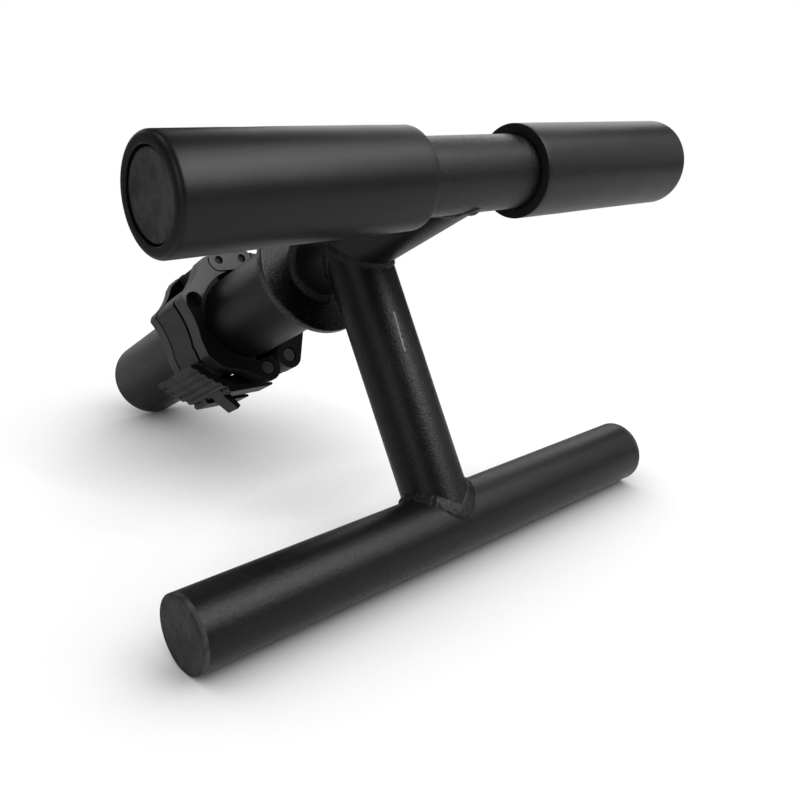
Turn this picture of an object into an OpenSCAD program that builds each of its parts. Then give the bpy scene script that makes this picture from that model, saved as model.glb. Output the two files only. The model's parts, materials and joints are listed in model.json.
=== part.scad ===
// Tib bar: a welded T frame with two foam foot grips, a lower bar and a plate
// sleeve that carries a clamp-on lever collar. It stands as it rests on a table,
// on its lower bar and on the far end of its sleeve.

/* [Bars] */
// Outside diameter of the upper bar, the post and the spine
tube_od = 32; // [28:0.5:34]
// Wall of every tube except the sleeve
tube_wall = 2.5; // [1.5:0.25:4]
// Length of the upper bar's tube
upper_bar_len = 278; // [230:1:330]
// Outside diameter of the lower bar
lower_bar_od = 33; // [33:0.5:40]
// Length of the lower bar's tube
lower_bar_len = 277; // [200:1:330]

/* [Foam grips] */
// Outside diameter of the foam
foam_od = 41; // [38:0.5:60]
// Bare length of upper bar between the two grips
grip_gap = 65; // [56:1:90]
// Gap between the foam and the tube
foam_clearance = 0.3; // [0.2:0.05:0.5]
// Depth of the plug's face inside the mouth of the foam
plug_recess = 1; // [0.5:0.25:6]
// Radius of the foam's outer ends
foam_round = 2; // [1:0.25:3.5]

/* [Frame] */
// Distance from the upper bar's axis back to the post's axis
post_offset = 80; // [60:1:88]
// Distance from the upper bar's axis down to the lower bar's axis
bar_drop = 141; // [110:1:190]
// Distance from the upper bar's axis to the near face of the stop disk
disk_offset = 110.5; // [106:0.5:150]
// Diameter of the stop disk
disk_od = 68; // [62:1:90]
// Thickness of the stop disk
disk_thick = 4.5; // [3:0.5:8]
// Depth of the recess in the disk that seats the sleeve
disk_recess = 2; // [1:0.25:2.5]
// Radius of the disk's rim edges
disk_edge = 0.8; // [0.3:0.1:1.2]
// Outside diameter of the plate sleeve
sleeve_od = 49; // [46:0.5:50]
// Wall of the plate sleeve
sleeve_wall = 3; // [2:0.25:5]
// Free length of the sleeve behind the stop disk
sleeve_len = 218; // [180:1:300]

/* [Welds] */
// Radius of a weld bead
weld_r = 3; // [2:0.1:3.6]
// Height of the ripples on a weld bead
weld_ripple = 0.35; // [0.1:0.05:0.6]
// Spacing of the ripples along a weld bead
weld_pitch = 4; // [3:0.5:7]

/* [Plugs and caps] */
// Thickness of a plug's lip outside its tube
lip_thick = 2.5; // [1.5:0.25:4]
// Wall of a plug's hollow shank
plug_wall = 1.6; // [1:0.1:2.5]
// Length of a plug's shank inside its tube
plug_shank = 14; // [8:1:24]
// Gap between a plug's shank and its tube
plug_clearance = 0.1; // [0.05:0.05:0.3]
// Radius on the edge of a plug's lip
lip_round = 0.8; // [0.3:0.1:1.2]
// How far an upper bar plug's lip lies inside the bar's outside
bar_lip_inset = 0.8; // [0.4:0.1:1.2]
// How far the sleeve plug's lip lies inside the sleeve's outside
sleeve_lip_inset = 2; // [1.6:0.1:2.6]

/* [Collar] */
// Distance from the stop disk to the near face of the collar
collar_pos = 75; // [20:1:120]
// Width of the collar along the sleeve
collar_w = 45; // [43:0.5:52]
// Gap between the sleeve and the rubber pads
pad_clearance = 0.3; // [0.2:0.05:0.5]
// Thickness of the rubber pads
pad_thick = 2.5; // [1.5:0.25:2.6]
// Distance from each end of the jaws to the rubber pads
pad_inset = 1.5; // [1:0.25:4]
// Wall of the jaws outside the pads
jaw_wall = 4.6; // [4:0.1:4.8]
// Width of the flange at the near end of a jaw
flange_w = 10.6; // [9.6:0.1:12]
// Width of the flange at the far end of a jaw
far_flange_w = 7.8; // [6:0.1:9]
// Width of the groove beside the near flange
groove_w = 2.4; // [1.6:0.1:3]
// Depth of the groove beside the near flange
groove_depth = 2.4; // [1:0.1:2.8]
// How far the middle band of a jaw lies below its flanges
band_step = 0.4; // [0.2:0.1:1]
// How far the hollow beside a hinge knuckle is sunk in the band
hollow_depth = 1.5; // [0.6:0.1:2]
// Radius of the lug at the corner of a jaw
lug_r = 7.2; // [6.6:0.1:7.6]
// Radius of the round recess in each end of a lug
lug_recess_r = 4.8; // [3:0.1:5.2]
// Depth of the round recess in each end of a lug
lug_recess = 4; // [1:0.25:4]

/* [Collar pins] */
// Radius of the four pivot pins
pin_r = 2.4; // [2:0.1:2.6]
// Radial running gap between a pin and its bore
pin_gap = 0.05; // [0.02:0.01:0.1]
// Radius of a latch pin's head
head_r = 3.8; // [3.4:0.1:4]
// Thickness of a latch pin's head
head_thick = 1; // [0.6:0.1:1.4]
// Depth of a latch pin's head below the face around it
head_sink = 0.5; // [0.2:0.1:0.8]
// Gap round a latch pin's head
head_gap = 0.8; // [0.4:0.1:1]
// Distance of the hinge pins outside the pads
hinge_pin_out = 7.7; // [7.2:0.1:8.4]
// Angle of the left jaw's hinge pin round the sleeve
hinge_angle_left = 100; // [99:0.5:103]
// Angle of the right jaw's hinge pin round the sleeve
hinge_angle_right = 75; // [72:0.5:76]
// Distance of the lever's pivot outside the pads
pivot_out = 5.5; // [5.4:0.1:5.8]
// Angle of the lever's pivot round the sleeve
pivot_angle = 276.5; // [275.5:0.5:277]
// Distance of the right jaw's latch pin outside the pads
catch_out = 7.3; // [7:0.1:7.6]
// Angle of the right jaw's latch pin round the sleeve
catch_angle = 306; // [305.5:0.5:307.5]

/* [Hinge link] */
// Thickness of each hinge link plate
link_plate_thick = 4; // [3:0.25:4.5]
// Radius of the hinge link's round ends
link_plate_r = 6.4; // [5.8:0.1:6.6]
// Depth of the hinge pins' ends below the link plates
hinge_pin_sink = 1.8; // [0.5:0.1:2.2]
// Side gap between pieces that turn on each other
side_gap = 0.3; // [0.2:0.05:0.4]
// Radius of the jaws' hinge knuckles
knuckle_r = 5; // [4.6:0.1:6]

/* [Latch] */
// Radius of the left jaw's ears round the lever's pivot
pivot_boss_r = 7.8; // [7.2:0.1:8]
// Radius of the boss round the right jaw's latch pin
catch_boss_r = 8; // [7.4:0.1:8.2]
// Radius of the lever's own bosses round its pivot
lever_boss_r = 5.2; // [4.8:0.1:5.3]
// Width of each of the left jaw's two ears
ear_w = 10.4; // [9.4:0.1:10.6]
// Width of each of the lever's two arms, inside the ears
arm_w = 5.2; // [4:0.1:5.4]
// Radial gap between the lever's arms and the left jaw
arm_gap = 1.2; // [0.8:0.1:1.6]
// Gap between the ears and the lip of the lever below them
lip_gap = 0.9; // [0.6:0.1:1.4]
// Distance from the lever's pivot to its link pin
throw = 10; // [9.4:0.1:10.4]
// How far past dead centre the shut lever turns, in degrees
over_centre = 6; // [3:0.5:9]
// Radius of the link pin in the lever
link_pin_r = 2; // [1.6:0.1:2.2]
// Gap round the link pin in the eye of the latch link
link_eye_gap = 1.2; // [1:0.1:1.3]
// Outer radius of the latch link's eyes
link_eye_r = 5.2; // [5:0.1:5.4]

/* [Thumb tab] */
// Distance from the pads out to the tab's ribs
tab_out = 18.6; // [18:0.1:20]
// Length of the tab across its ribs
tab_len = 27; // [26:0.5:32]
// Direction that the tab faces round the sleeve
tab_angle = 229.6; // [227:0.2:232]
// How far the middle of the tab bulges out
tab_bulge = 1.3; // [0.2:0.1:2]
// Thickness of the tab under its ribs
tab_thick = 3.4; // [2.6:0.1:4]
// Height of the tab's ribs
rib_h = 0.7; // [0.4:0.1:1.6]
// Number of ribs on the tab
rib_count = 5; // [3:1:6]
// Width of each rib
rib_w = 3; // [2:0.1:3.4]
// Distance between the ribs
rib_pitch = 5; // [4.4:0.1:5.2]
// Radius of the small hole at the end of each groove
groove_hole_r = 0.9; // [0.5:0.1:1]
// Distance from the collar's near end to the finger below the tab
finger_start = 8.4; // [4:0.2:18]
// Width of the finger below the tab
finger_w = 12.2; // [8:0.2:14]
// Length of the finger below the tab
finger_len = 10.5; // [6:0.5:14]
// Direction that the finger points round the sleeve
finger_angle = 307; // [300:0.5:312]

/* [Hidden] */
$fn = 96;

tube_r = tube_od / 2;
lower_r = lower_bar_od / 2;
sleeve_r = sleeve_od / 2;
foam_r = foam_od / 2;
foam_end = upper_bar_len / 2 + lip_thick + plug_recess;
disk_far = disk_offset + disk_thick;
sleeve_end = disk_far + sleeve_len;
// A cut runs this far past the face that it opens
past = 1;
// A strap's straight sides start this far inside its round ends
side_inset = 0.03;

// The lower bar's round and the corner of the sleeve's end both touch the table
reach_y = sleeve_end - post_offset;
reach_z = bar_drop - sleeve_r;
rest_tilt = atan2(reach_z, reach_y) + asin(lower_r / norm([reach_y, reach_z]));
axis_height = bar_drop * cos(rest_tilt) + post_offset * sin(rest_tilt) + lower_r;
front_y = -foam_r;
lip_back_y = (sleeve_end + lip_thick - lip_round) * cos(rest_tilt)
    + (sleeve_r - sleeve_lip_inset - lip_round) * sin(rest_tilt) + lip_round;
tube_back_y = sleeve_end * cos(rest_tilt) + sleeve_r * sin(rest_tilt);
mid_y = (front_y + max(lip_back_y, tube_back_y)) / 2;

collar_y = disk_far + collar_pos;
pad_r = sleeve_r + pad_clearance;
jaw_r = pad_r + pad_thick;
band_r = jaw_r + jaw_wall;
hinge_left = polar(jaw_r + hinge_pin_out, hinge_angle_left);
hinge_right = polar(jaw_r + hinge_pin_out, hinge_angle_right);
pivot = polar(jaw_r + pivot_out, pivot_angle);
catch = polar(jaw_r + catch_out, catch_angle);
dead_angle = direction(catch, pivot);
link_pin = pivot + polar(throw, dead_angle - over_centre);
bore_r = pin_r + pin_gap;
plate_slot = link_plate_thick + side_gap;
arm_start = ear_w + side_gap;
link_slot = arm_start + arm_w;
link_w = collar_w - 2 * (link_slot + 2 * side_gap);
pocket_gap = 0.7;
arm_inner_r = band_r + arm_gap;

// Corners of the jaws' outline: how far outside the pads and where round the sleeve
shoulder_r = 6;
shoulder_out = 6.9;
left_shoulder = polar(jaw_r + shoulder_out, hinge_angle_left + 13);
right_shoulder = polar(jaw_r + shoulder_out, hinge_angle_right - 13);
left_lug_out = 4.9;
left_lug_angle = 155;
left_lug = polar(jaw_r + left_lug_out, left_lug_angle);
right_lug_out = 6.1;
right_lug_angle = -6;
right_lug = polar(jaw_r + right_lug_out, right_lug_angle);
foot_r = 3.3;
foot_out = 5.7;
foot_angle = 212;
foot = polar(jaw_r + foot_out, foot_angle);
heel_r = 3.1;
heel_out = 5.9;
heel_angle = 227;
heel = polar(jaw_r + heel_out, heel_angle);
neck_r = 3.2;
neck_out = 3.1;
neck_angle = 254;
neck = polar(jaw_r + neck_out, neck_angle);
// The jaws' sides are scooped this deep, over this share of their length
scoop_depth = 1.5;
scoop_share = 0.8;

// Angles round the sleeve where the jaws' rings, pads, hollows and slot end
past_pin = 1;
past_pivot = 5;
slot_before_pivot = 33;
slot_past_ring = 20;
pad_from_pin = 12;
pad_from_pivot = 10;
hollow_from_pin = 10;
hollow_turn = 29.5;
left_jaw_span = [hinge_angle_left - past_pin, pivot_angle + past_pivot];
right_jaw_span = [catch_angle - 360 + past_pin, hinge_angle_right + past_pin];
slot_start = pivot_angle - slot_before_pivot;
left_pad_span = [hinge_angle_left + pad_from_pin, pivot_angle - pad_from_pivot];
right_pad_span = [catch_angle - 360 + pad_from_pin, hinge_angle_right - pad_from_pin];
left_hollow = hinge_angle_left + hollow_from_pin;
right_hollow = hinge_angle_right - hollow_from_pin - hollow_turn;

// The thumb tab's own axes: out of the tab, and along it from its lower end
tab_out_dir = polar(1, tab_angle);
tab_up_dir = polar(1, tab_angle - 90);
tab_face = jaw_r + tab_out - rib_h;
tab_low = 7.6;
// Bare length of tab above its top rib, and how far up the tab the finger starts
tab_margin = 0.8;
finger_root = 3;
finger_tip_thick = 2.6;
// The finger's straight side starts this far left of and below the tab's lower end
finger_left = 0.8;
finger_drop = 2.5;
// The arms' round ends under the tab's lower edge
arm_end_r = 4.5;
arm_end_in = 3.2;
arm_end = tab_out_dir * (tab_face - arm_end_in) - tab_up_dir * tab_low;
// Gap round the latch link in the right jaw's slot, and the angle that the link swings
slot_gap = 1;
link_swing = 20;
// The link pin ends this far inside the arms' outer faces
link_pin_inset = 1;
// The lip runs from the tab's lower end to just short of the pivot
lip_root_r = 2;
lip_root_drop = 0.3;
lip_tip_r = 0.8;
lip_short = 1.5;
lip_tip = pivot - [lip_short, pivot_boss_r + lip_gap + lip_tip_r];
// The arms' webs end this far to the left of the pivot and of the lip's tip
web_top_left = 6.7;
web_low_left = 2.5;

function polar(r, a) = [r * cos(a), r * sin(a)];
function direction(a, b) = atan2(b[1] - a[1], b[0] - a[0]);
function arc(c, r, a1, a2, n) = [for (i = [0:n]) c + polar(r, a1 + (a2 - a1) * i / n)];
function unit(v) = v / norm(v);

// Turns the part about the bars' direction into its resting place
module rest() {
    translate([0, -mid_y, axis_height]) rotate([-rest_tilt, 0, 0]) children();
}

// A bar along X
module x_rod(r, x1, x2) {
    translate([x1, 0, 0]) rotate([0, 90, 0]) cylinder(r = r, h = x2 - x1);
}

// A bar along Y
module y_rod(r, y1, y2, p = [0, 0]) {
    translate([p[0], y2, p[1]]) rotate([90, 0, 0]) cylinder(r = r, h = y2 - y1);
}

// A flat outline drawn across the sleeve, thick from y1 to y2
module slab(y1, y2) {
    translate([0, y2, 0]) rotate([90, 0, 0]) linear_extrude(y2 - y1) children();
}

// Both ends of the collar alike, from its faces inwards
module both_ends(y1, y2) {
    slab(collar_y + y1, collar_y + y2) children();
    slab(collar_y + collar_w - y2, collar_y + collar_w - y1) children();
}

module disc(p, r) {
    translate(p) circle(r = r);
}

// The straight sides between two round ends. They start just inside the rounds,
// so that they cut them cleanly.
module sides(a, ra, b, rb) {
    u = unit(b - a);
    v = [-u[1], u[0]];
    s = (ra - rb) / norm(b - a);
    c = sqrt(1 - s * s);
    in_a = ra - side_inset;
    in_b = rb - side_inset;
    polygon([a + in_a * (s * u + c * v), a + in_a * (s * u - c * v),
        b + in_b * (s * u - c * v), b + in_b * (s * u + c * v)]);
}

// Two round ends with straight sides
module strap(a, ra, b, rb) {
    disc(a, ra);
    disc(b, rb);
    sides(a, ra, b, rb);
}

// A large round that scoops the outer side between two rounds, taken in the order
// that they lie round the sleeve
module scoop(a, ra, b, rb, grow) {
    u = unit(b - a);
    out = [u[1], -u[0]];
    half = scoop_share * norm(b - a) / 2;
    r = (half * half + scoop_depth * scoop_depth) / (2 * scoop_depth);
    disc((a + b) / 2 + ((ra + rb) / 2 + r - scoop_depth) * out, r - grow);
}

// A wedge about the sleeve's axis, wider than the collar
module wedge(a1, a2) {
    steps = ceil((a2 - a1) / 30);
    polygon(concat([[0, 0]], arc([0, 0], 3 * band_r, a1, a2, steps)));
}

module ring_sector(r1, r2, span) {
    intersection() {
        difference() {
            circle(r = r2);
            circle(r = r1);
        }
        wedge(span[0], span[1]);
    }
}

// A weld bead: a rippled closed tube swept along a loop of points
module bead(loop, ripples) {
    n = len(loop);
    sides = 6;
    middle = [for (k = [0:2]) loop[0][k] + loop[n / 2][k]] / 2;
    points = [for (i = [0:n - 1])
        let (t = unit(loop[(i + 1) % n] - loop[(i + n - 1) % n]),
            a = unit(cross(t, loop[i] - middle)),
            b = cross(a, t),
            r = weld_r + weld_ripple * sin(360 * ripples * i / n))
        for (j = [0:sides - 1])
            loop[i] + r * (cos(360 * j / sides) * a + sin(360 * j / sides) * b)];
    faces = [for (i = [0:n - 1], j = [0:sides - 1])
        let (i2 = (i + 1) % n, j2 = (j + 1) % sides)
        for (f = [[i * sides + j, i2 * sides + j2, i2 * sides + j],
            [i * sides + j, i * sides + j2, i2 * sides + j2]]) f];
    polyhedron(points, faces);
}

// How many ripples fit a bead round a tube, and the points each ripple takes
function ripple_count(r) = round(2 * PI * r / weld_pitch);
points_per_ripple = 4;
// A bead's centre line stands off both of the tubes that it joins
bead_off = weld_r / 3;

// Height of a branch tube's edge where it meets a run tube
function saddle(run_r, side) = sqrt(max(0, pow(run_r + bead_off, 2) - side * side));

module saddle_bead(branch_r, run_r) {
    r = branch_r + 0.7 * bead_off;
    ripples = ripple_count(branch_r);
    n = ripples * points_per_ripple;
    bead([for (i = [0:n - 1])
        let (a = 360 * i / n)
        [r * cos(a), r * sin(a), saddle(run_r, r * sin(a))]], ripples);
}

module upper_bar_tube() {
    color("#1c1c1e") rest() difference() {
        x_rod(tube_r, -upper_bar_len / 2, upper_bar_len / 2);
        x_rod(tube_r - tube_wall, -upper_bar_len / 2 - past, upper_bar_len / 2 + past);
    }
}

module lower_bar_tube() {
    color("#1c1c1e") rest() translate([0, post_offset, -bar_drop]) difference() {
        x_rod(lower_r, -lower_bar_len / 2, lower_bar_len / 2);
        x_rod(lower_r - tube_wall, -lower_bar_len / 2 - past, lower_bar_len / 2 + past);
    }
}

// The post is coped to the spine above and to the lower bar below
module post_tube() {
    color("#1c1c1e") rest() difference() {
        translate([0, post_offset, -bar_drop]) cylinder(r = tube_r, h = bar_drop);
        translate([0, post_offset, -bar_drop - past])
            cylinder(r = tube_r - tube_wall, h = bar_drop + 2 * past);
        y_rod(tube_r, post_offset - 2 * tube_r, post_offset + 2 * tube_r);
        translate([0, post_offset, -bar_drop]) x_rod(lower_r, -2 * tube_r, 2 * tube_r);
    }
}

// The spine is coped to the upper bar and butts on the stop disk
module spine_tube() {
    color("#1c1c1e") rest() difference() {
        y_rod(tube_r, 0, disk_offset);
        y_rod(tube_r - tube_wall, -past, disk_offset + past);
        x_rod(tube_r, -2 * tube_r, 2 * tube_r);
    }
}

module stop_disk() {
    r = disk_od / 2;
    color("#202022") rest() difference() {
        translate([0, disk_far, 0]) rotate([90, 0, 0]) rotate_extrude()
            polygon(concat([[0, 0]], arc([r - disk_edge, disk_edge], disk_edge, -90, 0, 4),
                arc([r - disk_edge, disk_thick - disk_edge], disk_edge, 0, 90, 4),
                [[0, disk_thick]]));
        y_rod(sleeve_r, disk_far - disk_recess, disk_far + past);
    }
}

module sleeve_tube() {
    color("#1c1c1e") rest() difference() {
        y_rod(sleeve_r, disk_far - disk_recess, sleeve_end);
        y_rod(sleeve_r - sleeve_wall, disk_far - disk_recess - past, sleeve_end + past);
    }
}

module weld_spine_to_upper_bar() {
    color("#242426") rest() rotate([-90, 0, 0]) rotate([0, 0, 90])
        saddle_bead(tube_r, tube_r);
}

module weld_post_to_spine() {
    color("#242426") rest() translate([0, post_offset, 0]) rotate([180, 0, 90])
        saddle_bead(tube_r, tube_r);
}

module weld_post_to_lower_bar() {
    color("#242426") rest() translate([0, post_offset, -bar_drop])
        saddle_bead(tube_r, lower_r);
}

module weld_spine_to_disk() {
    ripples = ripple_count(tube_r);
    n = ripples * points_per_ripple;
    r = tube_r + bead_off;
    color("#242426") rest() bead([for (i = [0:n - 1])
        let (a = 360 * i / n) [r * sin(a), disk_offset - bead_off, r * cos(a)]], ripples);
}

// One grip, on the side where x is positive
module foam_grip() {
    bore = tube_r + foam_clearance;
    round_r = min(foam_round, foam_r - bore - 0.5);
    x1 = grip_gap / 2;
    rotate([0, 90, 0]) rotate_extrude() polygon(concat(
        [[bore, x1], [foam_r, x1]],
        [for (i = [0:8]) [foam_r - round_r * (1 - cos(90 * i / 8)),
            foam_end - foam_round * (1 - sin(90 * i / 8))]],
        [[bore, foam_end]]));
}

module foam_grip_left() {
    color("#19191b") rest() mirror([1, 0, 0]) foam_grip();
}

module foam_grip_right() {
    color("#19191b") rest() foam_grip();
}

// A ribbed hollow plug for the end of a tube, its lip against x = 0
module tube_plug(inner_r, lip_r) {
    shank_r = inner_r - plug_clearance;
    rib_step = plug_shank / 4;
    rib_thick = rib_step / 3;
    rotate([0, 90, 0]) rotate_extrude() polygon(concat(
        [[0, lip_thick], [0, 0], [shank_r - plug_wall, 0],
            [shank_r - plug_wall, -plug_shank], [shank_r, -plug_shank]],
        [for (k = [3:-1:1]) for (p = [[shank_r, -rib_step * k - rib_thick / 2],
            [inner_r, -rib_step * k], [shank_r, -rib_step * k + rib_thick / 2]]) p],
        [[shank_r, 0], [lip_r, 0]],
        arc([lip_r - lip_round, lip_thick - lip_round], lip_round, 0, 90, 4)));
}

module upper_bar_plug_right() {
    color("#2a2a2c") rest() translate([upper_bar_len / 2, 0, 0])
        tube_plug(tube_r - tube_wall, tube_r - bar_lip_inset);
}

module upper_bar_plug_left() {
    color("#2a2a2c") rest() mirror([1, 0, 0]) translate([upper_bar_len / 2, 0, 0])
        tube_plug(tube_r - tube_wall, tube_r - bar_lip_inset);
}

module lower_bar_cap_right() {
    color("#2a2a2c") rest() translate([lower_bar_len / 2, post_offset, -bar_drop])
        tube_plug(lower_r - tube_wall, lower_r);
}

module lower_bar_cap_left() {
    color("#2a2a2c") rest() mirror([1, 0, 0])
        translate([lower_bar_len / 2, post_offset, -bar_drop])
            tube_plug(lower_r - tube_wall, lower_r);
}

module sleeve_end_plug() {
    color("#2a2a2c") rest() translate([0, sleeve_end, 0]) rotate([0, 0, 90])
        tube_plug(sleeve_r - sleeve_wall, sleeve_r - sleeve_lip_inset);
}

// Outline of the left jaw's band; grow moves its outer edge out, or in where negative.
// The knuckle and the ear keep their size.
module left_jaw_outline(grow) {
    difference() {
        union() {
            ring_sector(jaw_r - past, band_r + grow, left_jaw_span);
            disc(hinge_left, knuckle_r);
            sides(hinge_left, knuckle_r + grow, left_shoulder, shoulder_r + grow);
            disc(left_shoulder, shoulder_r + grow);
            sides(left_shoulder, shoulder_r + grow, left_lug, lug_r + grow);
            disc(left_lug, lug_r + grow);
            sides(left_lug, lug_r + grow, foot, foot_r + grow);
            disc(foot, foot_r + grow);
            disc(pivot, pivot_boss_r);
        }
        circle(r = jaw_r);
        scoop(left_shoulder, shoulder_r, left_lug, lug_r, grow);
        scoop(left_lug, lug_r, foot, foot_r, grow);
    }
}

// The left jaw's flanges run on below the foot to the ears
module left_flange_outline() {
    left_jaw_outline(0);
    difference() {
        union() {
            sides(foot, foot_r, heel, heel_r);
            disc(heel, heel_r);
            sides(heel, heel_r, neck, neck_r);
            disc(neck, neck_r);
            sides(neck, neck_r, pivot, pivot_boss_r);
        }
        circle(r = jaw_r + jaw_wall / 2);
    }
}

module right_jaw_outline(grow) {
    difference() {
        union() {
            ring_sector(jaw_r - past, band_r + grow, right_jaw_span);
            disc(catch, catch_boss_r + grow);
            sides(catch, catch_boss_r + grow, right_lug, lug_r + grow);
            disc(right_lug, lug_r + grow);
            sides(right_lug, lug_r + grow, right_shoulder, shoulder_r + grow);
            disc(right_shoulder, shoulder_r + grow);
            sides(right_shoulder, shoulder_r + grow, hinge_right, knuckle_r + grow);
            disc(hinge_right, knuckle_r);
        }
        circle(r = jaw_r);
        scoop(right_lug, lug_r, right_shoulder, shoulder_r, grow);
    }
}

// A flange at each end, a groove beside the near one and a band between. Child 0 is
// the flanges' outline, child 1 the groove's and child 2 the band's.
module jaw_body() {
    slab(collar_y, collar_y + flange_w) children(0);
    slab(collar_y + flange_w, collar_y + flange_w + groove_w) children(1);
    slab(collar_y + flange_w + groove_w, collar_y + collar_w - far_flange_w) children(2);
    slab(collar_y + collar_w - far_flange_w, collar_y + collar_w) children(0);
}

// Room in the jaws for the hinge link's plates
module plate_pockets() {
    r = link_plate_r + pocket_gap;
    both_ends(-past, plate_slot) strap(hinge_left, r, hinge_right, r);
}

// Round recesses in both ends of a lug
module lug_recesses(p) {
    both_ends(-past, lug_recess) disc(p, lug_recess_r);
}

// A hollow in the band between the flanges, from angle a onwards
module band_hollow(a) {
    slab(collar_y + flange_w, collar_y + collar_w - far_flange_w) difference() {
        wedge(a, a + hollow_turn);
        circle(r = band_r - hollow_depth);
    }
}

// Recesses for the heads of the pins at p
module head_recesses(p) {
    both_ends(-past, head_sink + head_thick) disc(p, head_r + head_gap);
}

module collar_jaw_left() {
    color("#222224") rest() difference() {
        jaw_body() {
            left_flange_outline();
            left_jaw_outline(-groove_depth);
            left_jaw_outline(-band_step);
        }
        plate_pockets();
        lug_recesses(left_lug);
        band_hollow(left_hollow);
        head_recesses(pivot);
        slab(collar_y + ear_w, collar_y + collar_w - ear_w)
            wedge(slot_start, left_jaw_span[1] + slot_past_ring);
        y_rod(bore_r, collar_y - past, collar_y + collar_w + past, hinge_left);
        y_rod(pin_r, collar_y - past, collar_y + collar_w + past, pivot);
    }
}

module collar_jaw_right() {
    slot_r = link_eye_r + slot_gap;
    link_angle = direction(catch, link_pin);
    color("#222224") rest() difference() {
        jaw_body() {
            right_jaw_outline(0);
            right_jaw_outline(-groove_depth);
            right_jaw_outline(-band_step);
        }
        plate_pockets();
        lug_recesses(right_lug);
        band_hollow(right_hollow);
        head_recesses(catch);
        for (a = [0, link_swing])
            slab(collar_y + link_slot, collar_y + collar_w - link_slot)
                strap(catch, slot_r, catch + polar(3 * catch_boss_r, link_angle + a), slot_r);
        y_rod(bore_r, collar_y - past, collar_y + collar_w + past, hinge_right);
        y_rod(pin_r, collar_y - past, collar_y + collar_w + past, catch);
    }
}

module jaw_pad(span) {
    slab(collar_y + pad_inset, collar_y + collar_w - pad_inset)
        ring_sector(pad_r, jaw_r, span);
}

module jaw_pad_left() {
    color("#151515") rest() jaw_pad(left_pad_span);
}

module jaw_pad_right() {
    color("#151515") rest() jaw_pad(right_pad_span);
}

// One hinge link plate with its two pin bores
module hinge_link(y1) {
    y2 = y1 + link_plate_thick;
    difference() {
        slab(y1, y2) strap(hinge_left, link_plate_r, hinge_right, link_plate_r);
        for (p = [hinge_left, hinge_right]) y_rod(pin_r, y1 - past, y2 + past, p);
    }
}

module hinge_link_near() {
    color("#39393c") rest() hinge_link(collar_y);
}

module hinge_link_far() {
    color("#39393c") rest() hinge_link(collar_y + collar_w - link_plate_thick);
}

module hinge_pin(p) {
    y_rod(pin_r, collar_y + hinge_pin_sink, collar_y + collar_w - hinge_pin_sink, p);
}

module hinge_pin_left() {
    color("#3c3c40") rest() hinge_pin(hinge_left);
}

module hinge_pin_right() {
    color("#3c3c40") rest() hinge_pin(hinge_right);
}

// A point of the tab: up along its bulging face from the lower end, and out of it
function on_tab(up, out) = tab_up_dir * (up - tab_low)
    + tab_out_dir * (tab_face + out + tab_bulge * (1 - pow(2 * up / tab_len - 1, 2)));

// Where rib k starts along the tab
function rib_start(k) = tab_len - tab_margin - rib_w - (rib_count - 1 - k) * rib_pitch;

// The lever's tab with its ribs, from its lower end upwards
module tab_outline() {
    slope = rib_w / 8;
    steps = 6;
    polygon(concat([on_tab(0, 0)],
        [for (k = [0:rib_count - 1]) for (p = [on_tab(rib_start(k), 0),
            on_tab(rib_start(k) + slope, rib_h), on_tab(rib_start(k) + rib_w - slope, rib_h),
            on_tab(rib_start(k) + rib_w, 0)]) p],
        [for (i = [steps:-1:0]) on_tab(tab_len * i / steps, i == steps ? 0 : -tab_thick)],
        [on_tab(0, -tab_thick)]));
}

// A finger that points down from the tab's lower end
module finger_outline() {
    along = polar(1, finger_angle);
    out = polar(1, finger_angle - 90);
    root = on_tab(0, 0) - [finger_left, finger_drop];
    polygon([on_tab(finger_root, rib_h / 2), root + rib_h * out,
        root + rib_h * out + finger_len * along,
        root + (rib_h - finger_tip_thick) * out + finger_len * along,
        on_tab(finger_root, rib_h - tab_thick)]);
}

// The lip that runs from the tab's lower end to below the ears
module lip_outline() {
    root = on_tab(0, 0) - [0, lip_root_drop];
    strap(lip_tip, lip_tip_r, root, lip_root_r);
}

module arm_outline() {
    disc(pivot, lever_boss_r);
    difference() {
        union() {
            strap(pivot, lever_boss_r, arm_end, arm_end_r);
            polygon([pivot - [web_top_left, 0], arm_end,
                on_tab(0, 0) - [0, lip_root_drop], lip_tip - [web_low_left, 0]]);
        }
        circle(r = arm_inner_r);
    }
}

module latch_lever() {
    hole_y = collar_y + collar_w - 3 * groove_hole_r;
    color("#262628") rest() difference() {
        union() {
            both_ends(arm_start, link_slot) arm_outline();
            both_ends(0, link_slot) lip_outline();
            slab(collar_y, collar_y + collar_w) tab_outline();
            slab(collar_y + finger_start, collar_y + finger_start + finger_w)
                finger_outline();
        }
        y_rod(link_pin_r, collar_y + arm_start + link_pin_inset,
            collar_y + collar_w - arm_start - link_pin_inset, link_pin);
        y_rod(bore_r, collar_y - past, collar_y + collar_w + past, pivot);
        for (k = [0:rib_count - 2]) {
            at = on_tab(rib_start(k) + (rib_w + rib_pitch) / 2, -tab_thick / 2);
            translate([at[0], hole_y, at[1]]) rotate([0, 90 - tab_angle, 0])
                cylinder(r = groove_hole_r, h = tab_thick);
        }
    }
}

// One latch pin from the collar's near face inwards, its head first
module headed_pin(p, y2) {
    y_rod(head_r, collar_y + head_sink, collar_y + head_sink + head_thick, p);
    y_rod(pin_r, collar_y + head_sink, y2, p);
}

module far_end() {
    translate([0, 2 * collar_y + collar_w, 0]) mirror([0, 1, 0]) children();
}

module lever_pivot_pins() {
    color("#3c3c40") rest() {
        headed_pin(pivot, collar_y + link_slot);
        far_end() headed_pin(pivot, collar_y + link_slot);
    }
}

module catch_pin() {
    color("#3c3c40") rest() union() {
        headed_pin(catch, collar_y + collar_w / 2);
        far_end() headed_pin(catch, collar_y + collar_w / 2);
    }
}

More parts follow.
